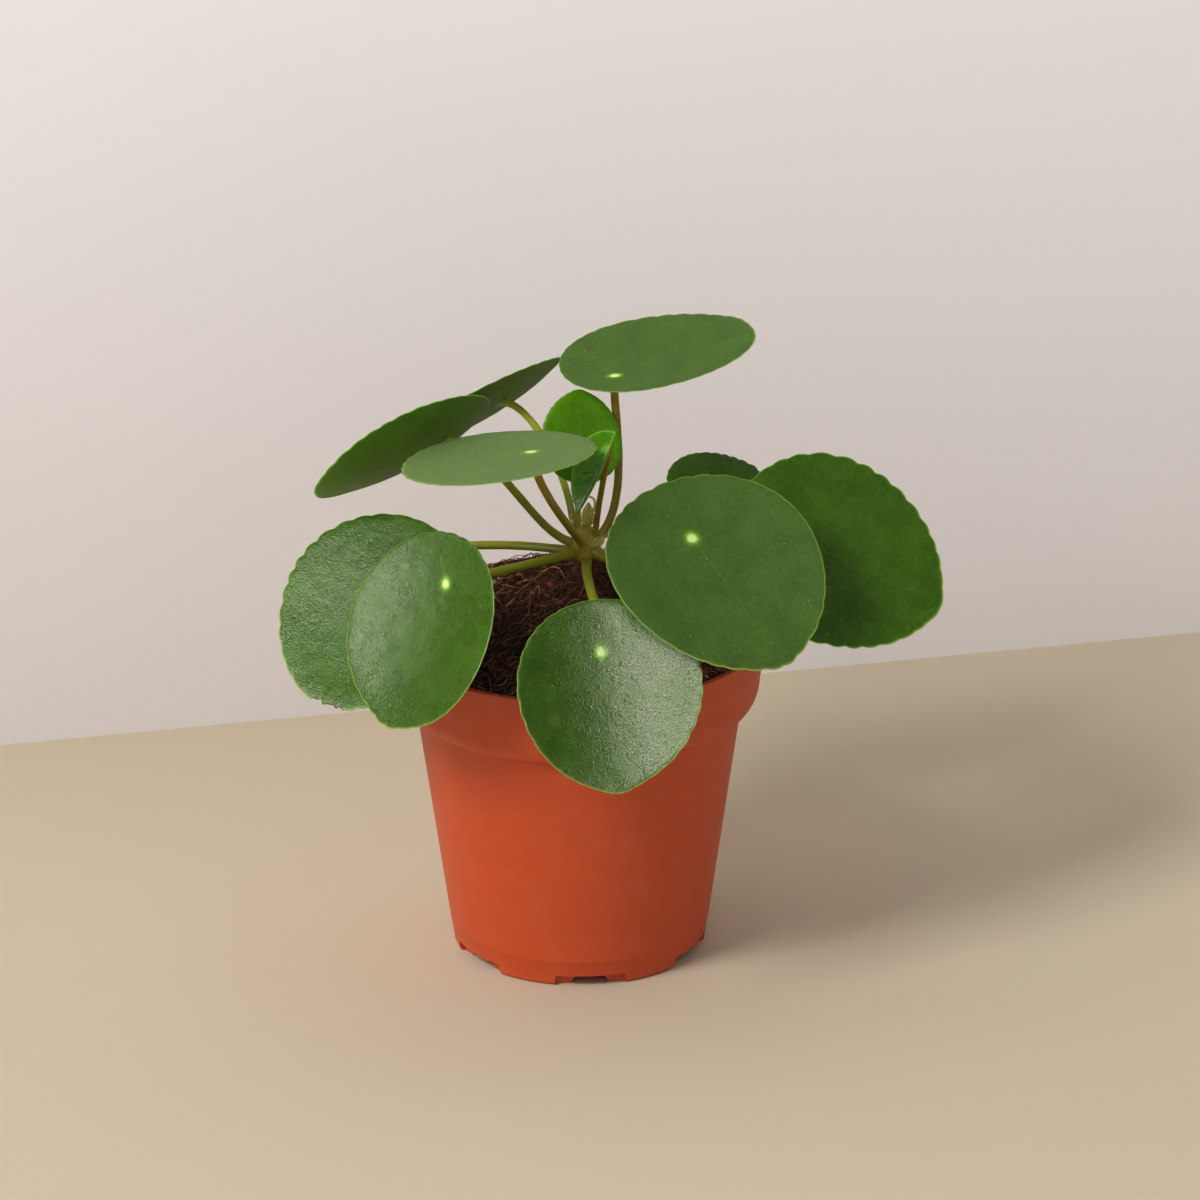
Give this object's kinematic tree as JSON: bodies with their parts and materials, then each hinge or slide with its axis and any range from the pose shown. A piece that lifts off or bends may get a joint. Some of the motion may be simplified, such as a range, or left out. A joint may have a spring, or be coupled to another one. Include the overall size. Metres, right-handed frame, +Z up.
{
  "type": "potted pilea plant",
  "caption": "Young house plant with round, shield-like leaves on long stalks that grow from one short stem, in soil in a round plastic nursery pot with a stepped rim band.",
  "frame": {"origin": "where the pot's axis meets the surface that the pot stands on, at the middle of the pot's flat base pad", "axes": "+Z up along the pot's axis, the plant's front looks along -Y, and +X is to the right of someone who looks at the front"},
  "size_m": [0.1869, 0.1414, 0.1711],
  "materials": {
    "pot": "satin",
    "soil": "matte",
    "stem": "matte",
    "papery": "matte",
    "stalk_green": "satin",
    "stalk_brown": "satin",
    "blade": "satin",
    "blade_young": "satin"
  },
  "bodies": {
    "root": {"pot": "pot", "soil": "soil", "main_stem": "stem", "bud": "papery", "stipule_right": "papery", "stipule_left": "papery", "stipule_collar": "papery", "stalk_top": "stalk_brown", "stalk_upper_front": "stalk_brown", "stalk_upper_left": "stalk_green", "stalk_back": "stalk_green", "stalk_young": "stalk_green", "stalk_folded": "stalk_brown", "stalk_far_left": "stalk_green", "stalk_near_left": "stalk_green", "stalk_front": "stalk_green", "stalk_right": "stalk_green", "stalk_far_right": "stalk_green", "stalk_back_right": "stalk_green", "blade_top": "blade", "blade_upper_front": "blade", "blade_upper_left": "blade", "blade_back": "blade", "blade_young": "blade_young", "blade_folded": "blade_young", "blade_far_left": "blade", "blade_near_left": "blade", "blade_front": "blade", "blade_right": "blade", "blade_far_right": "blade", "blade_back_right": "blade"}
  },
  "joints": []
}
